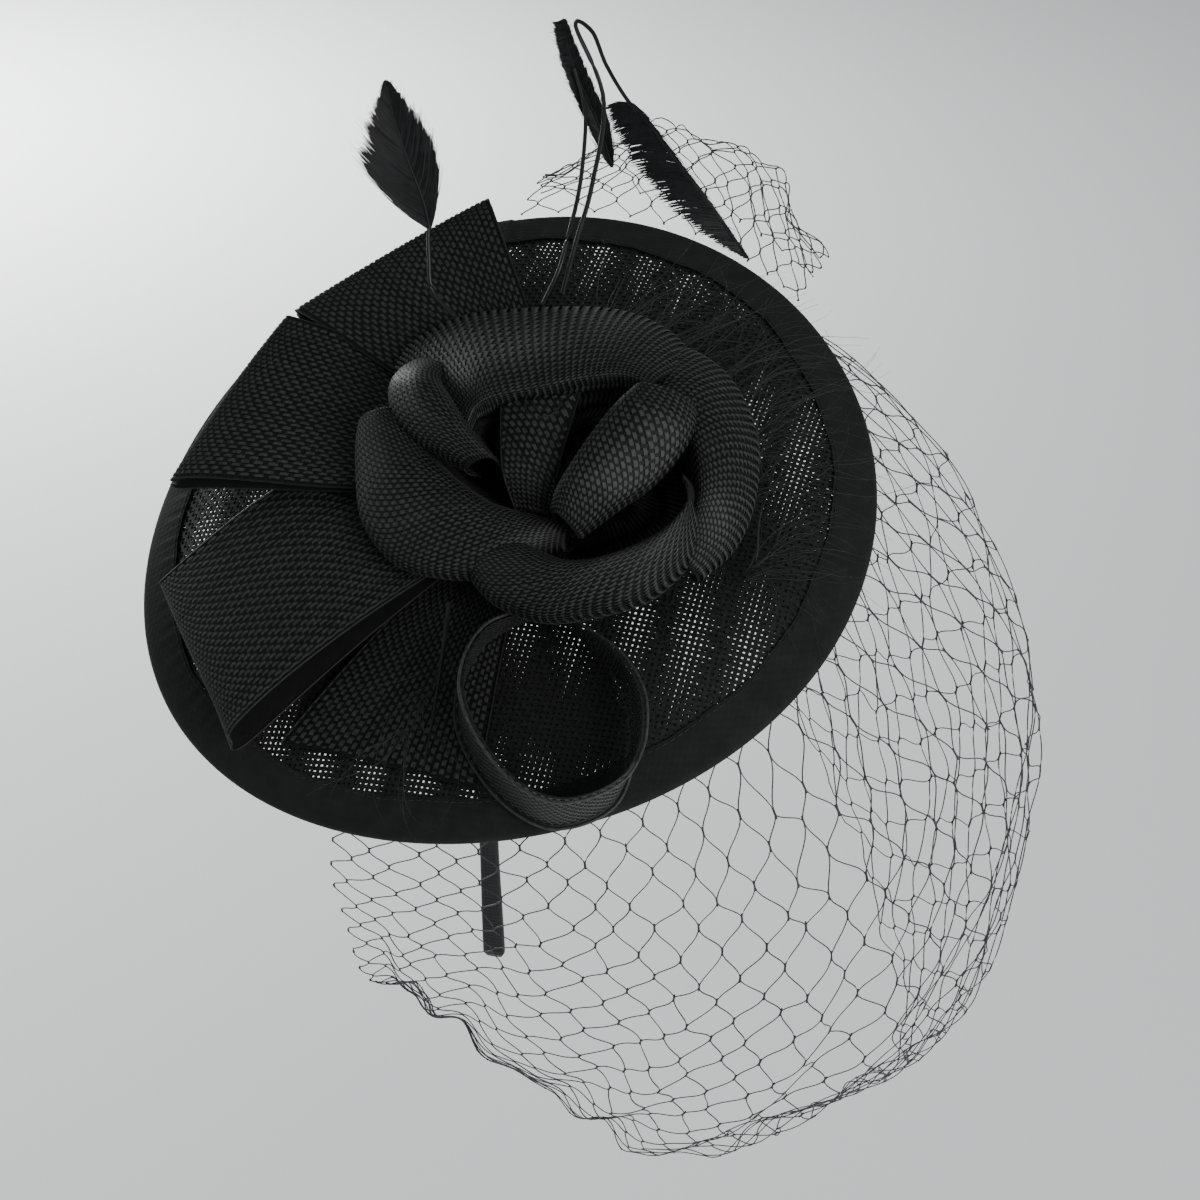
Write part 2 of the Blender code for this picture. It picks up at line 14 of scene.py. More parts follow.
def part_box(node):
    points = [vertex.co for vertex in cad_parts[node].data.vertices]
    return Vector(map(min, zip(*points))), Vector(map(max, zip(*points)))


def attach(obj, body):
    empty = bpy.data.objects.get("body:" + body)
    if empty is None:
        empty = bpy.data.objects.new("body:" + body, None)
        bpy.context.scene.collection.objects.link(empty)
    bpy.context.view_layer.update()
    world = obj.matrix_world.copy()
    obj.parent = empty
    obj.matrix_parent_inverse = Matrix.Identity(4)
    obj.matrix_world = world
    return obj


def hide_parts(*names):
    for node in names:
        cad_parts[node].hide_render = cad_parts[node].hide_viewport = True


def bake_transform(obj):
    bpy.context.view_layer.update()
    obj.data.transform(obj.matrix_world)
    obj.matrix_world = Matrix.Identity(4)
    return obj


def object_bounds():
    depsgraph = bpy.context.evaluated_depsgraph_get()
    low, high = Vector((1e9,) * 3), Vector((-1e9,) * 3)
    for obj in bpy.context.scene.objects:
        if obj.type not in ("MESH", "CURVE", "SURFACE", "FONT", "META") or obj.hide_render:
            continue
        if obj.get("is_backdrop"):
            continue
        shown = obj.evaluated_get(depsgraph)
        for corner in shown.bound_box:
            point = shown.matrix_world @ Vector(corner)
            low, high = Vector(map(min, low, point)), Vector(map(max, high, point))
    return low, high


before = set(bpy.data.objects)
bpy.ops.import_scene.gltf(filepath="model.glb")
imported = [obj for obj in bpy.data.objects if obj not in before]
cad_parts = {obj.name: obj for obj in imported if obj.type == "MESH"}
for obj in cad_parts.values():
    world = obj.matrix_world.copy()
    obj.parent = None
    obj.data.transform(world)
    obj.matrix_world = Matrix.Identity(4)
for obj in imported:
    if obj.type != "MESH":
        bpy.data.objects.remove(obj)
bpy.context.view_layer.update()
ROOT = "crown"
MM = 0.001
rng = np.random.default_rng(7)

# Brim, as in the CAD model
BRIM_R = 118.0
BRIM_T = 1.2
CROWN_RISE = 9.0
FRONT_BACK_DROP = 13.0
SIDE_DROP = 2.0
BIND_W = 12.5
BRIM_CENTRE = (-20.0, 12.0, -5.0)
BRIM_LEAN = -5.0
BRIM_TILT = -30.0
TRIM = (Matrix.Translation(BRIM_CENTRE)
        @ Matrix.Rotation(math.radians(BRIM_TILT), 4, "Y")
        @ Matrix.Rotation(math.radians(BRIM_LEAN), 4, "X"))
TRIM_R = np.array(TRIM.to_3x3())
TRIM_C = np.array(BRIM_CENTRE)

# Cloth
PITCH = 1.75           # spacing of the brim's threads
THREAD_W = 1.12        # their width
THREAD_LIFT = 0.22     # how far they ride over and under each other
RIBBON_PITCH = 1.42    # the same three for the ribbons and petals
RIBBON_THREAD = 0.95
RIBBON_LIFT = 0.25
OPEN_THREAD = 0.72     # thread width over spacing where there is no under-layer
RIBBON_T = 0.8
STACK = 1.3            # height of one ribbon layer over the next
WIDTH_SPREAD = 0.06    # spread of the threads' widths, as a share


# ---------------------------------------------------------------- geometry helpers

def catmull(points, count):
    """Sample a smooth curve through rows of numbers, count spans long."""
    pts = np.asarray(points, float)
    ends = np.vstack([2 * pts[0] - pts[1], pts, 2 * pts[-1] - pts[-2]])
    u = np.linspace(0, len(pts) - 1, count + 1)
    k = np.minimum(u.astype(int), len(pts) - 2)
    t = (u - k)[:, None]
    a, b, c, d = ends[k], ends[k + 1], ends[k + 2], ends[k + 3]
    return 0.5 * (2 * b + (c - a) * t + (2 * a - 5 * b + 4 * c - d) * t ** 2
                  + (3 * b - a - 3 * c + d) * t ** 3)


def brim_z(x, y):
    rho = np.minimum(1.0, np.hypot(x, y) / BRIM_R)
    turn = np.arctan2(y, x)
    droop = FRONT_BACK_DROP * np.sin(turn) ** 2 + SIDE_DROP * np.cos(turn) ** 2
    return CROWN_RISE * (1 - rho ** 2) - droop * rho ** 4


def on_brim(points):
    """Trim points (x, y, h) as trim-frame positions."""
    p = np.array(points, float)
    p[..., 2] += brim_z(p[..., 0], p[..., 1]) + BRIM_T / 2
    return p


def to_world(points):
    """Trim-frame millimetres to world millimetres."""
    return np.asarray(points) @ TRIM_R.T + TRIM_C


def unit(v):
    return v / np.maximum(np.linalg.norm(v, axis=-1, keepdims=True), 1e-9)


def mesh_piece(name, verts, faces, mat, smooth=True, body=ROOT):
    """A mesh object from world millimetres and equal-sided faces, riding on a body."""
    verts = np.asarray(verts, np.float32) * MM
    faces = np.asarray(faces, np.int32)
    used, index = np.unique(faces, return_inverse=True)
    verts = verts[used]
    faces = index.reshape(faces.shape).astype(np.int32)
    mesh = bpy.data.meshes.new(name)
    sides = faces.shape[1]
    mesh.vertices.add(len(verts))
    mesh.vertices.foreach_set("co", verts.ravel())
    mesh.loops.add(faces.size)
    mesh.loops.foreach_set("vertex_index", faces.ravel())
    mesh.polygons.add(len(faces))
    mesh.polygons.foreach_set("loop_start", np.arange(0, faces.size, sides, dtype=np.int32))
    mesh.polygons.foreach_set("loop_total", np.full(len(faces), sides, np.int32))
    mesh.update(calc_edges=True)
    mesh.validate()
    if smooth:
        mesh.shade_smooth()
    mesh.materials.append(mat)
    obj = bpy.data.objects.new(name, mesh)
    bpy.context.scene.collection.objects.link(obj)
    if body:
        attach(obj, body)
    return obj


def grid_faces(rows, cols, wrap=False):
    """Quads of a rows x cols grid of vertices; wrap joins the last column to the first."""
    i = np.arange(rows - 1)[:, None]
    j = np.arange(cols if wrap else cols - 1)[None, :]
    k = (j + 1) % cols
    quads = np.stack([i * cols + j, i * cols + k, (i + 1) * cols + k, (i + 1) * cols + j], -1)
    return quads.reshape(-1, 4)


class Batch:
    """Gathers many small grids of vertices into one mesh."""

    def __init__(self):
        self.verts = []
        self.faces = []
        self.count = 0

    def add(self, verts, faces):
        verts = np.asarray(verts, float).reshape(-1, 3)
        self.verts.append(verts)
        self.faces.append(np.asarray(faces) + self.count)
        self.count += len(verts)

    def piece(self, name, mat, **words):
        return mesh_piece(name, np.vstack(self.verts), np.vstack(self.faces), mat, **words)


def tubes(lines, radii, sides=5):
    """Round tubes along many lines at once. lines is (n, k, 3) and radii (n, k)."""
    lines = np.asarray(lines, float)
    tangent = unit(np.gradient(lines, axis=1))
    ref = np.zeros_like(tangent)
    ref[..., 2] = 1.0
    flat = np.abs(tangent[..., 2]) > 0.92
    ref[flat] = (1.0, 0.0, 0.0)
    side = unit(np.cross(tangent, ref))
    up = np.cross(side, tangent)
    turn = np.arange(sides) * math.tau / sides
    ring = (side[:, :, None] * np.cos(turn)[None, None, :, None]
            + up[:, :, None] * np.sin(turn)[None, None, :, None])
    verts = lines[:, :, None] + ring * np.asarray(radii)[:, :, None, None]
    n, k = lines.shape[:2]
    quads = grid_faces(k, sides, wrap=True)
    faces = quads[None] + (np.arange(n) * k * sides)[:, None, None]
    return verts.reshape(-1, 3), faces.reshape(-1, 4)


class Sheet:
    """A cloth surface: a grid of points in world millimetres, with its flat length and width."""

    def __init__(self, grid):
        self.grid = np.asarray(grid, float)
        du = np.gradient(self.grid, axis=0)
        dv = np.gradient(self.grid, axis=1)
        self.normal = unit(np.cross(du, dv))
        steps = np.linalg.norm(np.diff(self.grid, axis=0), axis=2).sum(0)
        across = np.linalg.norm(np.diff(self.grid, axis=1), axis=2).sum(1)
        self.length = float(steps.mean())
        self.width = float(across.mean())

    def _mix(self, table, u, v):
        rows, cols = self.grid.shape[:2]
        a = np.clip(u / self.length, 0, 1) * (rows - 1)
        b = np.clip(v / self.width, 0, 1) * (cols - 1)
        i = np.minimum(a.astype(int), rows - 2)
        j = np.minimum(b.astype(int), cols - 2)
        s = (a - i)[..., None]
        t = (b - j)[..., None]
        return ((table[i, j] * (1 - s) + table[i + 1, j] * s) * (1 - t)
                + (table[i, j + 1] * (1 - s) + table[i + 1, j + 1] * s) * t)

    def at(self, u, v):
        return self._mix(self.grid, u, v), unit(self._mix(self.normal, u, v))

    def holds(self, u, v):
        return (u >= 0) & (u <= self.length) & (v >= 0) & (v <= self.width)


class Saucer(Sheet):
    """The brim's surface, in plan coordinates shifted so that both run from 0."""

    def __init__(self, radius, lift):
        self.radius = radius
        self.lift = lift
        self.length = self.width = 2 * radius

    def at(self, u, v):
        x, y = u - self.radius, v - self.radius
        z = brim_z(x, y) + self.lift
        e = 0.5
        nx = (brim_z(x - e, y) - brim_z(x + e, y)) / (2 * e)
        ny = (brim_z(x, y - e) - brim_z(x, y + e)) / (2 * e)
        normal = unit(np.stack([nx, ny, np.ones_like(nx)], -1))
        return to_world(np.stack([x, y, z], -1)), normal @ TRIM_R.T

    def holds(self, u, v):
        return np.hypot(u - self.radius, v - self.radius) <= self.radius


def weave(sheet, pitch, width, lift, angle, offset, wander, phase=0.0, skew=0.0):
    """Over-and-under threads of flat fibre on a sheet, as a batch with one entry for each family.

    skew turns the second family away from square, and wander is each thread's drift as a share of pitch.
    """
    reach = math.hypot(sheet.length, sheet.width) / 2
    count = int(reach / pitch) + 2
    marks = np.arange(-count, count + 1)
    warp, weft = math.radians(angle), math.radians(angle + skew)
    batch = Batch()
    for family in (0, 1):
        jitter = rng.normal(0, wander * pitch, len(marks))
        widths = width * (1 + rng.normal(0, WIDTH_SPREAD, len(marks)))
        along = marks[None, :] * pitch
        across = (marks * pitch + jitter + phase)[:, None]
        wave = np.where((marks[:, None] + marks[None, :]) % 2 == 0, 1.0, -1.0)
        wave = wave if family else -wave
        verts = []
        for side in (-0.5, 0.5):
            p = np.broadcast_to(along, wave.shape)
            q = across + side * widths[:, None] + np.zeros_like(wave)
            if family:
                p, q = q, p
            u = p * math.cos(warp) - q * math.sin(weft) + sheet.length / 2
            v = p * math.sin(warp) + q * math.cos(weft) + sheet.width / 2
            point, normal = sheet.at(u, v)
            verts.append(point + normal * (wave * lift + offset)[..., None])
            inside = sheet.holds(u, v)
            kept = inside if side < 0 else kept & inside
        grid = np.stack(verts, 2)
        rows, cols = wave.shape
        j, i = np.nonzero(kept[:, :-1] & kept[:, 1:])
        a = (j * cols + i) * 2
        batch.add(grid, np.stack([a, a + 1, a + 3, a + 2], -1))
    return batch


# ---------------------------------------------------------------- materials

def shader_material(name, colour, roughness, sheen, specular):
    mat = bpy.data.materials.new(name)
    mat.use_nodes = True
    tree = mat.node_tree
    shader = tree.nodes["Principled BSDF"]
    shader.inputs["Base Color"].default_value = (*colour, 1.0)
    shader.inputs["Roughness"].default_value = roughness
    shader.inputs["Sheen Weight"].default_value = sheen
    shader.inputs["Sheen Roughness"].default_value = 0.4
    shader.inputs["Specular IOR Level"].default_value = specular
    return mat, tree, shader


def tint(tree, shader, scale, dark, light):
    """Colour that wanders between two tones at a given scale."""
    coords = tree.nodes.new("ShaderNodeTexCoord")
    noise = tree.nodes.new("ShaderNodeTexNoise")
    noise.inputs["Scale"].default_value = scale
    noise.inputs["Detail"].default_value = 3.0
    ramp = tree.nodes.new("ShaderNodeValToRGB")
    ramp.color_ramp.elements[0].position = 0.35
    ramp.color_ramp.elements[0].color = (*dark, 1.0)
    ramp.color_ramp.elements[1].position = 0.7
    ramp.color_ramp.elements[1].color = (*light, 1.0)
    tree.links.new(coords.outputs["Object"], noise.inputs["Vector"])
    tree.links.new(noise.outputs["Fac"], ramp.inputs["Fac"])
    tree.links.new(ramp.outputs["Color"], shader.inputs["Base Color"])
    return coords, noise


def bump(tree, shader, height, strength, distance):
    node = tree.nodes.new("ShaderNodeBump")
    node.inputs["Strength"].default_value = strength
    node.inputs["Distance"].default_value = distance
    tree.links.new(height, node.inputs["Height"])
    tree.links.new(node.outputs["Normal"], shader.inputs["Normal"])


def fibre_material(name, dark, light, roughness, sheen, specular, scale=900.0):
    """Dyed plant fibre: fine streaks of tone and gloss along the threads."""
    mat, tree, shader = shader_material(name, light, roughness, sheen, specular)
    coords, noise = tint(tree, shader, scale, dark, light)
    fine = tree.nodes.new("ShaderNodeTexNoise")
    fine.inputs["Scale"].default_value = scale * 4
    tree.links.new(coords.outputs["Object"], fine.inputs["Vector"])
    span = tree.nodes.new("ShaderNodeMapRange")
    span.inputs["To Min"].default_value = roughness - 0.12
    span.inputs["To Max"].default_value = roughness + 0.12
    tree.links.new(noise.outputs["Fac"], span.inputs["Value"])
    tree.links.new(span.outputs["Result"], shader.inputs["Roughness"])
    bump(tree, shader, fine.outputs["Fac"], 0.5, 0.0001)
    return mat


def cloth_material(name, dark, light, roughness, threads, sheen):
    """Fine close-woven cloth: bands along three axes cross to make the weave."""
    mat, tree, shader = shader_material(name, light, roughness, sheen, 0.3)
    coords, _ = tint(tree, shader, 180.0, dark, light)
    waves = []
    for axis in ("X", "Y", "Z"):
        wave = tree.nodes.new("ShaderNodeTexWave")
        wave.wave_type = "BANDS"
        wave.bands_direction = axis
        wave.inputs["Scale"].default_value = threads / 10
        wave.inputs["Distortion"].default_value = 1.2
        wave.inputs["Detail Scale"].default_value = 2.0
        tree.links.new(coords.outputs["Object"], wave.inputs["Vector"])
        waves.append(wave)
    low = tree.nodes.new("ShaderNodeMath")
    low.operation = "MULTIPLY"
    tree.links.new(waves[0].outputs["Fac"], low.inputs[0])
    tree.links.new(waves[1].outputs["Fac"], low.inputs[1])
    high = tree.nodes.new("ShaderNodeMath")
    high.operation = "ADD"
    tree.links.new(low.outputs[0], high.inputs[0])
    tree.links.new(waves[2].outputs["Fac"], high.inputs[1])
    bump(tree, shader, high.outputs[0], 0.35, 0.00015)
    return mat


def grey(tone):
    return (tone, tone, tone)


BLACK = (0.0035, 0.0035, 0.004)
# name, dark tone, light tone, roughness, then sheen and specular for fibres or threads and sheen for cloths
MATS = {
    "sinamay": fibre_material("sinamay_fibre", grey(0.003), (0.012, 0.0125, 0.0125), 0.55, 0.03, 0.24),
    # ribbon and weft are one fibre as lit and shaded copies: the first thread family's copy is lighter as
    # painted light, the second family's copy is painted darker as painted shade
    "ribbon": fibre_material("sinamay_ribbon", grey(0.016), (0.040, 0.041, 0.041), 0.6, 0.04, 0.25),
    "weft": fibre_material("sinamay_ribbon_painted_shade", grey(0.002), grey(0.006), 0.6, 0.02, 0.16),
    "backing": cloth_material("ribbon_under_layer", grey(0.002), grey(0.004), 0.9, 1600.0, 0.02),
    "binding": cloth_material("bias_binding_cloth", (0.004, 0.004, 0.0044), (0.0075, 0.0075, 0.008),
                              0.9, 1800.0, 0.04),
    "satin": cloth_material("satin_cover", (0.005, 0.005, 0.0055), (0.008, 0.008, 0.009), 0.45, 2600.0, 0.04),
    "felt": cloth_material("felt_pad_cloth", grey(0.003), grey(0.008), 0.95, 900.0, 0.15),
    "steel": fibre_material("spring_steel", (0.40, 0.41, 0.42), (0.58, 0.59, 0.60), 0.35, 0.0, 0.5),
    "feather": fibre_material("feather_barbs", BLACK, (0.007, 0.007, 0.008), 0.5, 0.03, 0.22, 400.0),
    "quill": fibre_material("dyed_quill", BLACK, (0.008, 0.008, 0.009), 0.42, 0.0, 0.3, 300.0),
    "down": fibre_material("marabou_down", grey(0.004), (0.014, 0.014, 0.015), 0.6, 0.1, 0.35, 400.0),
    "net": fibre_material("net_thread", (0.006, 0.007, 0.008), (0.020, 0.021, 0.024), 0.5, 0.1, 0.4, 700.0),
    "thread": fibre_material("sewing_thread", BLACK, grey(0.014), 0.6, 0.1, 0.3, 1500.0),
}
MATS["steel"].node_tree.nodes["Principled BSDF"].inputs["Metallic"].default_value = 1.0


def repaint(mat, *nodes):
    """Give CAD nodes whose shapes are right a better material."""
    for name in nodes:
        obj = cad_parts[name]
        obj.data.materials.clear()
        obj.data.materials.append(mat)


# ---------------------------------------------------------------- brim

FELT_VOXEL = 0.55
FELT_SINK = 0.08       # how far the face sits inside the CAD plate's
# Its unevenness: (waves along x, y and z, phase)
MATTED = (([2.1, 1.3, 1.7], 0.0), ([-1.2, 2.6, 0.8], 1.0), ([3.9, -3.1, 2.2], 2.0))


def felt(name, node):
    """A cut piece of felt: the CAD's plate with rounded edges and a matted face."""
    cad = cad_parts[node]
    work = bpy.data.objects.new(name, cad.data.copy())
    bpy.context.scene.collection.objects.link(work)
    blocks = work.modifiers.new("blocks", "REMESH")
    blocks.mode = "VOXEL"
    blocks.voxel_size = FELT_VOXEL * MM
    rounded = work.modifiers.new("rounded", "SMOOTH")
    rounded.factor = 0.5
    rounded.iterations = 4
    mesh = bpy.data.meshes.new_from_object(work.evaluated_get(bpy.context.evaluated_depsgraph_get()))
    bpy.data.objects.remove(work)
    spots = np.empty(len(mesh.vertices) * 3)
    mesh.vertices.foreach_get("co", spots)
    spots = spots.reshape(-1, 3) / MM
    out = np.empty(len(mesh.vertices) * 3)
    mesh.vertex_normals.foreach_get("vector", out)
    out = out.reshape(-1, 3)
    matted = sum(np.sin(spots @ waves + phase) for waves, phase in MATTED) * 0.04
    matted = matted + rng.normal(0, 0.03, len(spots))
    spots += out * (matted - FELT_SINK)[:, None]
    mesh.vertices.foreach_set("co", (spots * MM).ravel())
    mesh.materials.clear()
    mesh.materials.append(MATS["felt"])
    mesh.polygons.foreach_set("use_smooth", np.ones(len(mesh.polygons), bool))
    piece = bpy.data.objects.new(name, mesh)
    bpy.context.scene.collection.objects.link(piece)
    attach(piece, ROOT)
    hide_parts(node)


PLY_TUCK = 2.5         # how far the plies run under the binding
PLIES = ((-4.0, 0.0, -0.32, 0.0), (-2.6, 4.6, 0.32, 0.5))   # angle, skew, lift, phase


def brim():
    """Two plies of open sinamay, turned against each other so that their holes drift in and out of line."""
    radius = BRIM_R - BIND_W + PLY_TUCK
    for ply, (angle, skew, lift, phase) in enumerate(PLIES):
        saucer = Saucer(radius, lift)
        cloth = weave(saucer, PITCH, THREAD_W, THREAD_LIFT, angle, 0.0, 0.03, phase, skew)
        cloth.piece(f"brim_ply_{ply + 1}", MATS["sinamay"], smooth=False)
    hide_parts("brim_disc")
    binding()
    repaint(MATS["steel"], "brim_wire", "band_core_crown", "band_core_left", "band_core_right")
    felt("felt_pad_cloth", "felt_pad")
    felt("rose_base_cloth", "rose_base")


AROUND = 720
LAP_TURN = 14          # where the binding's end laps over its start, in degrees


def waver(turn):
    """How the binding's inner edge and its stitches drift in and out, in millimetres."""
    return 0.35 * np.sin(9 * turn + 1.0) + 0.25 * np.sin(23 * turn)


def binding():
    """A bias strip folded over the brim's edge, slightly puckered, with a lapped end and its stitches."""
    around = AROUND
    half = BRIM_T / 2 + 0.65
    start = BRIM_R - BIND_W
    outer = BRIM_R - half
    top = [(start + (outer - start) * k / 7, half) for k in range(8)]
    fold = [(outer + half * math.cos(a), half * math.sin(a)) for a in np.radians(np.linspace(60, -60, 7))]
    under = [(outer + (start - outer) * k / 7, -half) for k in range(8)]
    profile = np.array(top + fold + under)
    turn = np.arange(around) * math.tau / around
    r = profile[None, :, 0] + np.zeros((around, 1))
    z = profile[None, :, 1] + np.zeros((around, 1))
    drift = waver(turn) + 0.12 * np.sin(61 * turn + 2.0)
    edge = np.clip(1 - (r - start) / 4.0, 0, 1)
    r = r + edge * drift[:, None]
    pucker = 0.10 * np.sin(150 * turn + 3 * np.sin(7 * turn)) + 0.08 * np.sin(87 * turn + 1.0)
    z = z + np.sign(z) * pucker[:, None] * np.clip(1.2 - np.abs(r - start - 2.5) / 5, 0, 1)
    from_lap = np.abs((turn - math.radians(LAP_TURN) + math.pi) % math.tau - math.pi)
    lap = (from_lap < 0.05)[:, None]
    z = z + np.sign(z) * 0.35 * lap
    r = r + 0.3 * lap * np.clip(r - outer, 0, 1)
    x, y = r * np.cos(turn)[:, None], r * np.sin(turn)[:, None]
    points = to_world(np.stack([x, y, z + brim_z(x, y)], -1))
    verts = points.reshape(-1, 3)
    cols = len(profile)
    faces = grid_faces(around, cols)
    last = (around - 1) * cols + np.arange(cols - 1)
    first = np.arange(cols - 1)
    faces = np.vstack([faces, np.stack([last, last + 1, first + 1, first], -1)])
    cloth = mesh_piece("brim_binding_cloth", verts, faces, MATS["binding"])
    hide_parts("brim_binding")
    stitches(start + 1.1, half + 0.08)


def stitches(radius, lift):
    """The binding's line of small stitches."""
    count = 260
    turn = np.arange(count) * math.tau / count
    span = math.tau / count * 0.32
    steps = np.linspace(-1, 1, 4)
    angles = turn[:, None] + steps[None] * span
    r = radius + waver(angles)
    x, y = r * np.cos(angles), r * np.sin(angles)
    h = lift + 0.12 * (1 - steps[None] ** 2)
    lines = to_world(np.stack([x, y, brim_z(x, y) + h], -1))
    verts, faces = tubes(lines, np.full((count, 4), 0.13), 5)
    thread = mesh_piece("binding_stitches", verts, faces, MATS["thread"])


# ---------------------------------------------------------------- ribbon loops

def ruled(rail_a, rail_b, along, across, bow=0.0):
    """A grid between two smooth rails of trim points, bowed up in the middle by bow millimetres."""
    a, b = catmull(rail_a, along), catmull(rail_b, along)
    t = np.linspace(0, 1, across + 1)[None, :, None]
    grid = on_brim(a[:, None] * (1 - t) + b[:, None] * t)
    lift = bow * np.sin(np.pi * np.linspace(0, 1, along + 1)[:, None] * np.ones(across + 1)) ** 0.5
    grid[..., 2] += lift * np.sin(np.pi * t[..., 0])
    return to_world(grid)


def face_up(grid, part):
    """The grid, turned over if the chosen part of it faces down into the brim."""
    up = TRIM_R[:, 2]
    normal = Sheet(grid).normal[part]
    return grid[:, ::-1] if (normal @ up).mean() < 0 else grid


def ribbon(name, grid, node, angle=0.0, lined=True):
    """A close sinamay ribbon: threads over a plain under-layer, with a turned edge down each side.

    The second family of threads is the same fibre painted darker, as painted shade. A ribbon that isn't lined
    shows its weave on both faces.
    """
    sheet = Sheet(grid)
    thread = RIBBON_THREAD if lined else OPEN_THREAD * RIBBON_PITCH
    offset = RIBBON_LIFT + 0.04 if lined else 0.0
    cloth = weave(sheet, RIBBON_PITCH, thread, RIBBON_LIFT, angle, offset, 0.04)
    rows, cols = sheet.grid.shape[:2]
    warps, threads = len(cloth.faces[0]), sum(len(f) for f in cloth.faces)
    verts, faces = cloth.verts, cloth.faces
    if lined:
        verts = verts + [sheet.grid.reshape(-1, 3)]
        faces = faces + [grid_faces(rows, cols) + cloth.count]
    body = mesh_piece(name, np.vstack(verts), np.vstack(faces), MATS["ribbon"], smooth=False)
    body.data.materials.append(MATS["weft"])
    body.data.materials.append(MATS["backing"])
    slots = np.zeros(len(body.data.polygons), np.int32)
    # the second thread family takes the darker copy of the fibre: painted shade
    slots[warps:] = 1
    slots[threads:] = 2
    body.data.polygons.foreach_set("material_index", slots)
    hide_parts(node)
    edges = Batch()
    for j in (0, cols - 1):
        line = sheet.grid[:, j] + sheet.normal[:, j] * 0.12
        edges.add(*tubes(line[None], np.full((1, rows), 0.34), 6))
    hem = edges.piece(f"{name}_selvedge", MATS["sinamay"])
    return sheet


def loop_rails(roots, folds, layer, lift, gap, bulge=2.0, twist=(1.0, 1.0), sway=(0.0, 0.0)):
    """The two edges of a ribbon that leaves the rose, folds back and returns below itself.

    layer is its place in the stack under the rose, lift the fold's height and gap how far the fold stands
    open. twist scales the gap for each edge, and sway moves the middle of each edge along x.
    """
    rails = []
    for root, fold, open_by, aside in zip(roots, folds, twist, sway):
        root, fold = np.array(root, float), np.array(fold, float)
        out = (fold - root) / np.linalg.norm(fold - root)
        half = max(gap * open_by, 2 * RIBBON_T) / 2
        low = 1 + layer * STACK
        mid = (root + fold) / 2 + (aside, 0)
        near = fold - out * half
        rails.append([
            (*root, low + STACK),
            (*mid, (low + STACK + lift + half) / 2 + bulge),
            (*near, lift + half),
            (*fold, lift),
            (*near, lift - half),
            (*mid, (low + lift - half) / 2 - bulge * 0.2),
            (*root, low),
        ])
    return rails


def soften(grid):
    """Shallow waves in a flat ribbon, so that it doesn't lie like card."""
    u = np.linspace(0, 1, grid.shape[0])[:, None]
    v = np.linspace(0, 1, grid.shape[1])[None, :]
    wave = 0.7 * np.sin(7.5 * u + 2.6 * v) + 0.5 * np.sin(4.1 * v + 13 * u + 1.0)
    return grid + Sheet(grid).normal * (wave * np.sin(np.pi * u) ** 0.5)[..., None]


ACROSS = 16            # a flat ribbon's spans from edge to edge
TAIL = ([(-14, -4, 1.4), (-53, 19.5, 1.4), (-92, 43, 1.4)],
        [(-20, -18, 1.4), (-60, -20, 1.4), (-101, -22, 1.4)])
FLAT_LOOPS = (
    ("left_lower", loop_rails([(2, 2), (-20, -8)], [(-42, 93), (-98, 54)], 1, 13.5, 11, twist=(0.35, 1.0),
                              sway=(19.0, 0.0))),
    ("top", loop_rails([(12, -8), (24, -22)], [(52, 73), (99, 20)], 3.4, 22, 4, sway=(-3.0, 0.0))),
    ("left_upper", loop_rails([(14, 4), (-8, -4)], [(48.5, 74.5), (-14, 96)], 5.6, 23.5, 5, bulge=-1.0,
                              sway=(6.0, -3.0))),
)


def loops():
    ribbon("ribbon_tail", face_up(ruled(*TAIL, 40, ACROSS), np.s_[:]), "tail_lower")
    for word, rails in FLAT_LOOPS:
        grid = soften(ruled(*rails, 120, ACROSS))
        ribbon(f"ribbon_{word}", face_up(grid, np.s_[5:40]), f"loop_{word}")
    round_loop()


RING_FOOT = 3.2        # height of the round loop's lower edge
RING_TOP = 31.0
RING_LEAN = (5.5, 10.0)   # how far that edge lies from under the upper one
RING_PLAN = [(-46, -31, 8), (-61, -20, 19), (-86, -22, 30), (-106, -37, 31), (-114, -56, 31),
             (-104, -72, 31), (-83, -73, 30), (-64, -61, 19), (-49, -40, 8)]


def round_loop():
    """The ribbon that stands on its edge in a ring, with a cord-like rim along both edges."""
    low = []
    for x, y, h in RING_PLAN:
        share = (h - RING_FOOT) / (RING_TOP - RING_FOOT)
        low.append((x + RING_LEAN[0] * share, y + RING_LEAN[1] * share, RING_FOOT))
    sheet = ribbon("ribbon_round", ruled(low, RING_PLAN, 110, 14), "loop_round", lined=False)
    rim = Batch()
    for j in (0, -1):
        line = sheet.grid[:, j] + sheet.normal[:, j] * 1.3
        rim.add(*tubes(line[None], np.full((1, len(line)), 0.45), 6))
    piece = rim.piece("ribbon_round_outer_edge", MATS["ribbon"])


# ---------------------------------------------------------------- rose

# A petal's section from its outer foot over the roll and down inside: share of the way in, height
PETAL_SECTION = ((0.02, -0.9), (-0.06, -0.3), (-0.07, 0.25), (0.02, 0.7), (0.2, 1.0), (0.45, 1.12),
                 (0.7, 1.0), (0.9, 0.6), (1.0, 0.1), (1.0, -0.5), (0.98, -1.1))
# Then on towards the rose's heart: millimetres inward, millimetres down
PETAL_FLOOR = ((1.0, 5.0), (6.0, 9.0), (13.0, 11.0), (22.0, 12.0), (31.0, 11.0))
BIAS = 45.0            # the strip's threads run at this angle to its length
PETAL_ENDS = 0.55      # the roll's height at its two ends, as a share of its middle's
ROSE_HEART = np.array([0.0, -32.0, 0.0])


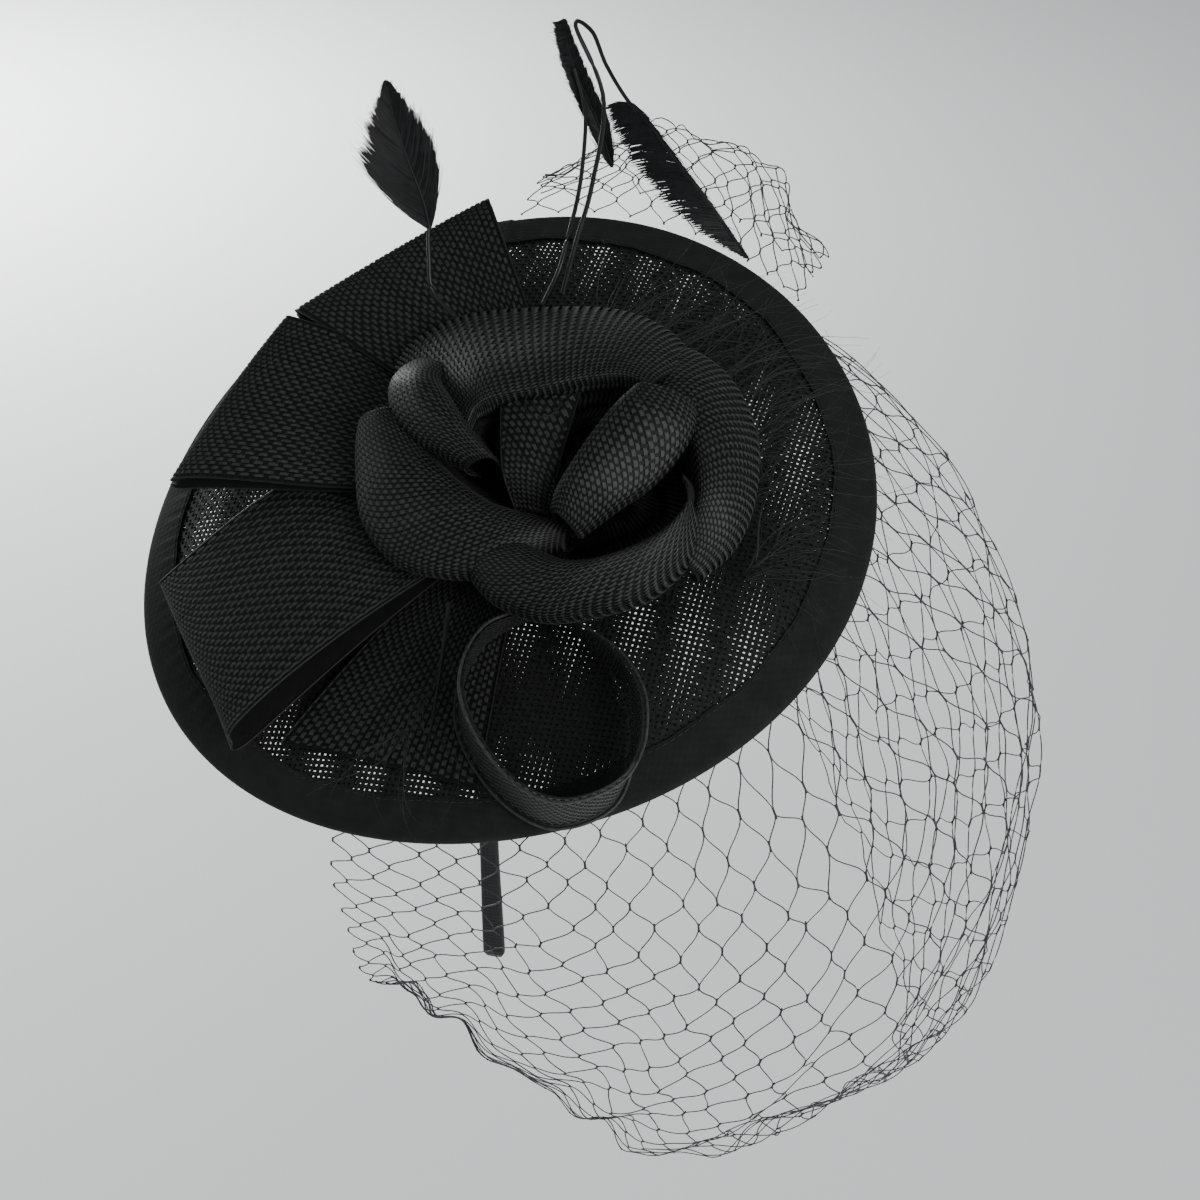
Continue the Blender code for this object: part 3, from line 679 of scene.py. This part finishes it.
def petal(name, node, outer, inner, puff, reach=1.0):
    """A strip of sinamay on the bias, rolled over softly between an outer foot and an inner lip.

    outer and inner are trim points (x, y, z over the brim's middle plane); puff is the roll's height and
    reach the share of the usual depth that its inner end runs into the rose.
    """
    spans = 90
    a, b = catmull(outer, spans), catmull(inner, spans)
    t = np.linspace(0, 1, spans + 1)
    inward = unit(b - a)
    rise = unit(np.array([0.0, 0.0, 1.0]) - inward * inward[:, 2:3])
    swell = puff * (PETAL_ENDS + (1 - PETAL_ENDS) * np.sin(np.pi * t) ** 0.6)
    swell = swell * (1 + 0.05 * np.sin(11 * t + puff) + 0.03 * np.sin(27 * t))
    share, height = catmull(PETAL_SECTION, 48).T
    sag = 0.05 * np.sin(7 * t[:, None] + 6 * share[None]) * height[None]
    roll = (a[:, None] + (b - a)[:, None] * share[None, :, None]
            + rise[:, None] * (swell[:, None] * (height[None] + sag))[..., None])
    level = unit((ROSE_HEART - b) * (1, 1, 0))
    fade = np.sin(np.pi * t)[:, None] ** 0.3
    floor = [roll[:, -1] + level * inset * fade * reach - (0, 0, drop) for inset, drop in PETAL_FLOOR]
    grid = np.concatenate([roll, np.stack(floor, 1)], 1)
    ribbon(name, face_up(to_world(grid), np.s_[:, 15:28]), node, BIAS)


def bud_heart():
    """The rolled-up end of the strip in the middle of the rose."""
    count = 90
    turn = np.linspace(0, 3.2 * math.pi, count)
    radius = np.linspace(9.0, 3.5, count)
    foot = np.stack([4 + radius * np.cos(turn), -27 + radius * np.sin(turn), np.full(count, 20.0)], -1)
    lip = foot * (0.75, 0.75, 1) + (2.5, -7.0, 28.0)
    t = np.linspace(0, 1, 24)[None, :, None]
    ribbon("bud_heart", to_world(foot[:, None] * (1 - t) + lip[:, None] * t), "bud_core", BIAS)


def rose():
    petal("petal_left", "petal_outer_left",
          [(6, 35, 30), (-8, 32, 27), (-25, 26, 25), (-37, 14, 24), (-41, 0, 24), (-41, -17, 25),
           (-37, -30, 28), (-31, -39, 26)],
          [(6, 22, 40), (-2, 16, 40), (-10, 9, 39), (-18, -1, 39), (-25, -12, 39), (-29, -23, 39),
           (-30, -32, 37), (-26, -40, 31)], 6.5)
    petal("petal_bottom", "petal_outer_bottom",
          [(-39, -12, 27), (-45, -15, 25), (-51, -24, 24), (-54, -37, 24), (-51, -50, 24), (-45, -65, 25),
           (-35, -75, 28), (-25, -79, 32)],
          [(-37, -28, 36), (-42, -38, 38), (-44, -45, 39), (-43, -54, 40), (-38, -65, 41), (-31, -73, 42),
           (-22, -77, 43), (-14, -73, 44)], 7.0)
    petal("petal_right", "petal_outer_right",
          [(40, -50, 28), (39, -61, 28), (28, -75, 28), (11, -85, 27), (-10, -89, 27), (-26, -86, 25),
           (-36, -77, 22)],
          [(14, -49, 42), (15, -56, 43), (10, -66, 43), (-3, -74, 43), (-18, -79, 42), (-27, -77, 37),
           (-33, -72, 31)], 5.0)
    petal("petal_top", "petal_outer_top",
          [(25, 30, 30), (37, 26, 30), (48, 12, 29), (52, -11, 29), (53, -34, 29), (46, -52, 29),
           (33, -65, 30)],
          [(-2, -4, 46), (3, -6, 48), (6, -12, 50), (10, -27, 51), (14, -40, 51), (16, -50, 50),
           (14, -59, 48)], 3.6, reach=0.35)
    petal("petal_roll", "petal_left_roll",
          [(28, 22, 33), (18, 25, 37), (6, 22, 40), (-4, 13, 40), (-10, 2, 39), (-14, -7, 37)],
          [(23, 11, 40), (14, 10, 46), (5, 4, 50), (-4, -3, 51), (-10, -9, 49), (-14, -15, 45)],
          4.5, reach=0.3)
    petal("petal_inner", "petal_inner_right",
          [(-33, -43, 35), (-26, -54, 41), (-16, -64, 43), (-2, -71, 45), (9, -71, 46)],
          [(-30, -38, 43), (-24, -41, 51), (-12, -46, 54), (1, -52, 55), (10, -57, 54)], 5.0, reach=0.3)
    wrap = [[(-24, -22, 24), (-15, -18, 34), (6, -13, 37)], [(-24, -33, 24), (-15, -35, 34), (10, -37, 39)]]
    ribbon("bud_panel", face_up(ruled(*wrap, 30, 16, bow=2.5), np.s_[:]), "bud_wrap", 38.0)
    bud_heart()


# ---------------------------------------------------------------- feathers and down

FEATHER_FACE = np.array([-0.853, -0.2285, 0.469])   # the way the vanes face
SPANS = 60
BARBS = 420            # on each side of a vane
LOOSE_SHARE = 0.45     # of the barbs that have a stray one beside them
QUILL_R = (0.8, 0.55)
RACHIS_R = (0.5, 0.12)


def strips(starts, ends, bend, widths, taper, steps=8):
    """Flat barbs from starts to ends, each bowed by its bend vector and narrowing by taper."""
    t = np.linspace(0, 1, steps)
    line = (starts[:, None] * (1 - t)[None, :, None] + ends[:, None] * t[None, :, None]
            + bend[:, None] * (np.sin(np.pi * t * 0.9))[None, :, None])
    tangent = unit(np.gradient(line, axis=1))
    across = unit(np.cross(tangent, FEATHER_FACE + 0.13 * rng.normal(size=(len(starts), 1, 3))))
    half = widths[:, None] * (1 - taper * t[None] ** 2) / 2
    verts = np.stack([line - across * half[..., None], line + across * half[..., None]], 2)
    n = len(starts)
    quads = grid_faces(steps, 2)
    faces = quads[None] + (np.arange(n) * steps * 2)[:, None, None]
    return verts.reshape(-1, 3), faces.reshape(-1, 4)


def feather(word, shaft, rachis, left, right, sweep):
    """A stripped feather: a polished quill and a vane of separate barbs between two outlines.

    sweep is how far along the vane a barb's tip lies past its root, as a share of the vane.
    """
    body = f"feather_{word}"
    line = to_world(catmull(on_brim(shaft), SPANS))
    spine = to_world(catmull(on_brim(rachis), SPANS))
    quill = Batch()
    quill.add(*tubes(line[None], np.linspace(*QUILL_R, SPANS + 1)[None], 8))
    quill_piece = quill.piece(f"{body}_stem", MATS["quill"], body=body)
    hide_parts(f"{body}_quill")
    vane = Batch()
    vane.add(*tubes(spine[None], np.linspace(*RACHIS_R, SPANS + 1)[None], 6))
    along = unit(spine[-1] - spine[0])[None]
    for rail in (left, right):
        edge = to_world(catmull(on_brim(rail), 100))
        t = np.linspace(0.0, 0.985, BARBS)
        reach = np.clip(t * (1 - sweep) + sweep + rng.normal(0, 0.008, BARBS), 0, 1)
        ragged = 1 + 0.06 * np.sin(t * 47) * np.sin(t * 19) + rng.normal(0, 0.035, BARBS)
        root = spine[(t * SPANS).astype(int)]
        tip = root + (edge[(reach * 100).astype(int)] - root) * ragged[:, None]
        long = np.linalg.norm(tip - root, axis=1)[:, None]
        vane.add(*strips(root, tip, along * -0.10 * long, rng.uniform(0.5, 1.0, BARBS), 0.75))
        loose = rng.random(BARBS) < LOOSE_SHARE
        stray = tip[loose] + (tip[loose] - root[loose]) * rng.uniform(0.0, 0.22, (loose.sum(), 1))
        vane.add(*strips(root[loose], stray + rng.normal(0, 0.5, stray.shape), along * -0.14 * long[loose],
                         np.full(loose.sum(), 0.22), 0.9))
    piece = vane.piece(f"{body}_barbs", MATS["feather"], body=body)
    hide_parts(f"{body}_vane")


def feathers():
    feather(
        "left",
        [(40, 12, 34), (45, 19, 40), (52, 20, 48), (57, 20, 54), (59, 19.5, 56)],
        [(58, 19.5, 55), (63, 21, 64), (70, 25, 76), (77, 28, 89), (82, 29, 98)],
        [(59, 20, 56), (62, 30, 67), (67, 38, 76), (74, 36, 86), (79, 32, 93), (82, 29.5, 98)],
        [(59, 19, 56), (67, 16, 67), (75, 18, 81), (80, 25, 92), (82, 28.5, 98)], 0.3)
    feather(
        "middle",
        [(47, -15, 34), (54, -20, 42), (63, -22, 48), (73, -26, 61), (82, -29, 77), (87, -29, 85),
         (92, -27, 95)],
        [(82, -34, 62), (86, -32, 76), (91, -28, 89), (96, -25, 99), (101, -24, 108)],
        [(81, -33.5, 61), (85, -29, 78), (90, -25, 89), (94, -22.5, 98), (100, -21, 108)],
        [(82, -34, 61), (87, -35, 77), (92, -31, 90), (97, -27.5, 99), (101, -25, 108)], 0.12)
    feather(
        "right",
        [(50, -21, 36), (60, -25.5, 49), (71, -31, 64), (84, -37, 90), (93, -31, 112), (90, -37, 113),
         (82, -42, 107), (74, -49, 101), (68, -57, 95)],
        [(73, -50.5, 100.5), (70, -54.5, 98), (63, -62.5, 91), (56, -71.5, 83), (50, -79, 75), (45, -85, 70)],
        [(74, -47, 101), (73, -43, 97), (66, -47, 92), (58, -55, 84), (49, -69, 76), (45, -84, 70)],
        [(73, -51, 100.5), (70, -55.5, 98), (63, -63.5, 91), (56, -72.5, 83), (50, -80, 75),
         (45, -85.5, 70)], 0.16)


HAIR_R = 0.14
HAIR_STEPS = 11


def hairs(count, roots, heading, length, lift, curl):
    """Loose down: fine tapering hairs that fan out from a line of roots."""
    t = np.linspace(0, 1, HAIR_STEPS + 1)
    pick = rng.uniform(0, 1, count)
    line = catmull(roots, 50)[(pick * 50).astype(int)]
    turn = np.radians(rng.normal(heading, 24, count))
    long = rng.uniform(*length, count)
    bend = rng.normal(0, curl, count)
    rise = rng.uniform(*lift, count)
    angle = turn[:, None] + bend[:, None] * t[None] + 0.25 * np.sin(6 * t[None] + 9 * pick[:, None])
    step = long[:, None] / HAIR_STEPS
    x = line[:, 0:1] + np.cumsum(np.cos(angle) * step, 1)
    y = line[:, 1:2] + np.cumsum(np.sin(angle) * step, 1)
    h = line[:, 2:3] + rise[:, None] * np.sin(np.pi * t[None] * 0.7) + 1.0
    lines = to_world(on_brim(np.stack([x, y, h], -1)))
    radii = np.outer(rng.uniform(0.7, 1.3, count), HAIR_R * (1 - 0.75 * t))
    return tubes(lines, radii, 4)


# Hairs, line of roots, heading in degrees, shortest and longest, least and most lift, curl
TUFTS = (
    (150, [(50, -24, 6), (46, -46, 6), (30, -72, 6), (0, -92, 6)], -48, (22, 52), (2, 14), 0.7),
    (60, [(20, -70, 10), (-10, -90, 8), (-28, -86, 7)], -80, (18, 40), (2, 10), 0.8),
    (26, [(-60, -6, 6), (-90, 4, 5)], 170, (20, 42), (1, 6), 0.7),
)


def marabou():
    down = Batch()
    for tuft in TUFTS:
        down.add(*hairs(*tuft))
    piece = down.piece("marabou_down", MATS["down"])
    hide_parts("marabou_plume")
    repaint(MATS["quill"], "marabou_quill")


# ---------------------------------------------------------------- veil

HEADING_IN = 6.0       # how far in from the brim's edge the veil is gathered
BIND_T = 0.6
CLEAR = 0.3
# The cage's line down from the brim at each angle round it: (degrees, three world points to the hem)
VEIL_COLUMNS = (
    (-192, ((-100, 41, -99), (-98, 35, -123), (-96, 26, -141))),
    (-168, ((-106, -10, -98), (-101, 4, -129), (-95, 9, -156))),
    (-146, ((-110, -60, -96), (-104, -50, -143), (-89, -26, -186))),
    (-126, ((-94, -102, -92), (-92, -94, -152), (-74, -56, -215))),
    (-106, ((-58, -136, -80), (-58, -134, -150), (-43, -97, -212))),
    (-86, ((-16, -154, -62), (-14, -154, -137), (-10, -126, -211))),
    (-66, ((24, -146, -38), (30, -144, -110), (28, -124, -190))),
    (-46, ((62, -112, -6), (66, -112, -80), (62, -98, -156))),
    (-26, ((86, -66, 12), (90, -70, -46), (82, -62, -112))),
    (-6, ((94, -18, 20), (98, -24, -24), (90, -24, -68))),
    (12, ((92, 26, 26), (95, 22, 0), (90, 18, -26))),
)
NET_R = 0.21
KNOT_R = (0.24, 0.32, 0.32, 0.24)
CELLS_ROUND = 72
CELLS_DOWN = 23
CURL = 9.0             # how far the hem curls, in millimetres


def rim_point(turn, inset, drop):
    """A world point under the brim at an angle round it, inset from its edge."""
    r = BRIM_R - inset
    x, y = r * math.cos(math.radians(turn)), r * math.sin(math.radians(turn))
    under = BRIM_T / 2 + CLEAR + BIND_T + drop
    return to_world([x, y, float(brim_z(x, y)) - under])


def net(sheet, cells_u, cells_v, waves, name, node, close=1.0):
    """Diamond netting over a sheet: crossing threads, each crossing bound with a small knot.

    close above 1 draws the rows together towards the free edge.
    """
    i, j = np.meshgrid(np.arange(cells_u + 1), np.arange(cells_v + 1), indexing="ij")
    jitter = rng.normal(0, 0.13, (2, cells_u + 1, cells_v + 1))
    jitter[:, :, 0] = 0.0
    lattice = np.stack([i + jitter[0], j + jitter[1]], -1)

    def place(uv):
        u = np.clip(uv[..., 0] / cells_u, 0, 1)
        v = 1 - np.clip(1 - uv[..., 1] / cells_v, 0, 1) ** close
        point, normal = sheet.at(u * sheet.length, v * sheet.width)
        return point + normal * waves(u, v)[..., None]

    batch = Batch()
    t = np.linspace(0, 1, 8)
    ease = 0.5 - 0.5 * np.cos(np.pi * t)
    for down in (1, -1):
        a, b = np.nonzero((i + j) % 2 == 0)
        ok = (a + 1 <= cells_u) & (b + down >= 0) & (b + down <= cells_v)
        a, b = a[ok], b[ok]
        start, end = lattice[a, b], lattice[a + 1, b + down]
        uv = start[:, None] * (1 - t)[None, :, None] + end[:, None] * t[None, :, None]
        uv[..., 0] = start[:, 0:1] * (1 - ease)[None] + end[:, 0:1] * ease[None]
        lines = place(uv)
        batch.add(*tubes(lines, np.full(lines.shape[:2], NET_R), 4))
    a, b = np.nonzero((i + j) % 2 == 0)
    centre = lattice[a, b]
    ends = np.stack([centre - [0, 0.16], centre - [0, 0.05], centre + [0, 0.05], centre + [0, 0.16]], 1)
    knots = place(ends)
    size = np.array(KNOT_R)[None] * rng.uniform(0.85, 1.2, (len(knots), 1))
    batch.add(*tubes(knots, size, 5))
    piece = batch.piece(name, MATS["net"])
    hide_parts(node)


def cage_sheet():
    drop = 2.0 + 3 * CLEAR + 0.5
    columns = []
    for turn, points in VEIL_COLUMNS:
        columns.append(catmull([rim_point(turn, HEADING_IN, drop), *points], 60))
    rows = np.stack([catmull(row, 160) for row in np.stack(columns, 1)], 1)
    return Sheet(rows)


def folds(u, v):
    """Upright folds that open towards the free edge, which curls in under the chin."""
    open_by = np.clip(v * 1.6, 0, 1)
    wave = np.sin(math.tau * (13 * u + 0.3 * np.sin(5 * v + 7 * u)))
    curl = np.clip((v - 0.80) / 0.2, 0, 1) ** 1.5
    return (open_by * (2.0 * wave + 1.1 * np.sin(math.tau * (23 * u + 0.6 * v) + 1.0))
            + curl * (CURL + 1.5 * np.sin(math.tau * 5 * u)))


def pouf_sheet():
    """The veil's folded end: up from the brim, over, and down again behind."""
    low, high, back = [], [], []
    for i, turn in enumerate((10, -2, -14, -25, -34, -41)):
        rise = 24 * math.sin(math.radians(30 * i + 15))
        base = rim_point(turn, -2.0, -2.0)
        low.append(base)
        high.append(base + np.array([10.0 + rise * 0.3, -4.0, rise + 4.0]))
        back.append(base + np.array([14.0, -2.0, 3.0]))
    rows = [catmull(r, 70) for r in (low, high, back)]
    grid = np.stack([catmull(c, 40) for c in np.stack(rows, 1)])
    return Sheet(grid)


def pouf_folds(u, v):
    return (2.6 * np.sin(17 * u + 5 * v) + 2.0 * np.sin(31 * u - 7 * v + 1.0)) * np.sin(np.pi * v) ** 0.5


def veil():
    net(cage_sheet(), CELLS_ROUND, CELLS_DOWN, folds, "veil_net", "veil_cage", close=1.5)
    net(pouf_sheet(), 20, 12, pouf_folds, "veil_folded_end", "veil_pouf")
    repaint(MATS["thread"], "veil_heading")


# ---------------------------------------------------------------- headband

BAND_R = 70.0          # the band's inner radius, as in the CAD model
COVER_R = 71.2         # its middle line
ARC_END = 94.0         # where the arc runs out into a straight arm, in degrees from the crown
COVER_HALF = (3.0, 1.2)   # half the cover's width and thickness
FLARE = 0.5            # how much wider it is at the end


def headband():
    """One satin cover a side, drawn smoothly over the crown and the arm and closed at the end."""
    last = math.radians(ARC_END)
    for word, side in (("left", 1), ("right", -1)):
        low_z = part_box(f"band_tip_{word}")[0][2] / MM
        end = (-BAND_R + COVER_R * math.cos(last) - low_z) / math.sin(last)
        marks = np.concatenate([np.linspace(0, ARC_END, 70), ARC_END + np.linspace(1, end, 40)])
        rings = []
        for s in marks:
            turn = math.radians(min(s, ARC_END))
            run = max(0.0, s - ARC_END)
            out = np.array([math.sin(turn) * side, 0.0, math.cos(turn)])
            flare, close = 0.0, 1.0
            if s > ARC_END:
                to_end = end - run
                flare = FLARE * float(np.clip((38.0 - to_end) / 30.0, 0, 1))
                close = 1.0 - 0.55 * float(np.clip((0.9 - to_end) / 0.9, 0, 1)) ** 2
            mid = np.array([(COVER_R * math.sin(turn) + run * math.cos(turn)) * side, 0.0,
                            -BAND_R + COVER_R * math.cos(turn) - run * math.sin(turn)])
            ring = []
            for k in range(16):
                a = math.tau * k / 16
                c, d = math.cos(a), math.sin(a)
                y = (COVER_HALF[0] + flare) * math.copysign(abs(c) ** 0.35, c) * (0.5 + 0.5 * close)
                lift = (COVER_HALF[1] + 0.5 * flare) * math.copysign(abs(d) ** 0.7, d) * close
                ring.append(mid + np.array([0, y, 0]) + out * (lift + 0.04 * math.sin(s * 0.9 + y)))
            rings.append(ring)
        rings.append([np.mean(rings[-1], axis=0)] * 16)
        cover = mesh_piece(f"headband_cover_{word}", np.array(rings).reshape(-1, 3),
                           grid_faces(len(rings), 16, wrap=True), MATS["satin"], body=None)
        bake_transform(cover)
        if side > 0:
            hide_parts("band_sleeve_left", "band_tip_left", "band_sleeve_crown")
        else:
            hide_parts("band_sleeve_right", "band_tip_right")
    repaint(MATS["thread"], "band_stitch_1", "band_stitch_2", "band_stitch_3", "band_stitch_4")


# ---------------------------------------------------------------- stage

VIEW_AZIMUTH = -75.0
VIEW_ELEVATION = 28.0
VIEW_FROM_BRIM = (-754.9, -236.6, 386.8)   # the camera from the brim's centre, in millimetres


FLOOR_SIZE = 9.0       # metres
FLOOR_DROP = 0.22      # the floor is this far under the headpiece, which hangs over it
FLOOR_SPANS = 40


def stage():
    """A plain pale floor, soft light and the camera."""
    floor_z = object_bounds()[0].z - FLOOR_DROP
    xs = np.linspace(-FLOOR_SIZE / 2, FLOOR_SIZE / 2, FLOOR_SPANS + 1)
    gx, gy = np.meshgrid(xs, xs, indexing="ij")
    verts = np.stack([gx, gy, np.full_like(gx, floor_z)], -1).reshape(-1, 3) / MM
    mat, tree, shader = shader_material("studio_floor", (0.80, 0.81, 0.81), 0.9, 0.0, 0.2)
    tint(tree, shader, 0.6, (0.78, 0.79, 0.79), (0.82, 0.83, 0.83))
    floor = mesh_piece("studio_floor", verts, grid_faces(FLOOR_SPANS + 1, FLOOR_SPANS + 1), mat,
                       body=None)
    floor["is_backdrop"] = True
    world = bpy.data.worlds.new("studio")
    bpy.context.scene.world = world
    world.use_nodes = True
    sky = world.node_tree.nodes["Background"]
    sky.inputs["Color"].default_value = (0.86, 0.90, 0.92, 1.0)
    sky.inputs["Strength"].default_value = 0.44
    lamp("key", (-1.05, -1.15, 0.4), 1.0, 26.0)
    lamp("wash", (1.35, 1.25, 0.2), 0.6, 34.0, (1.25, 1.0, floor_z))
    lamp("near", (0.2, 1.1, 0.1), 0.5, 4.0, (0.25, 0.75, floor_z))
    camera = bpy.data.cameras.new("photo_view")
    camera.lens = 85.0
    camera.sensor_width = 36.0
    camera.clip_start = 0.05
    eye = bpy.data.objects.new("photo_view", camera)
    bpy.context.scene.collection.objects.link(eye)
    eye.location = Vector(BRIM_CENTRE) * MM + Vector(VIEW_FROM_BRIM) * MM
    a, e = math.radians(VIEW_AZIMUTH), math.radians(VIEW_ELEVATION)
    back = Vector((math.sin(a) * math.cos(e), -math.cos(a) * math.cos(e), math.sin(e)))
    eye.rotation_mode = "QUATERNION"
    eye.rotation_quaternion = (-back).to_track_quat("-Z", "Y")
    bpy.context.scene.camera = eye


def lamp(name, place, size, power, aim=(0.0, 0.0, -0.05)):
    """A round soft light at a place in metres, turned towards aim."""
    light = bpy.data.lights.new(name, "AREA")
    light.shape = "DISK"
    light.size = size
    light.energy = power
    obj = bpy.data.objects.new(name, light)
    bpy.context.scene.collection.objects.link(obj)
    obj.location = place
    obj.rotation_mode = "QUATERNION"
    obj.rotation_quaternion = (Vector(place) - Vector(aim)).to_track_quat("Z", "Y")


brim()
loops()
rose()
feathers()
marabou()
veil()
headband()
stage()
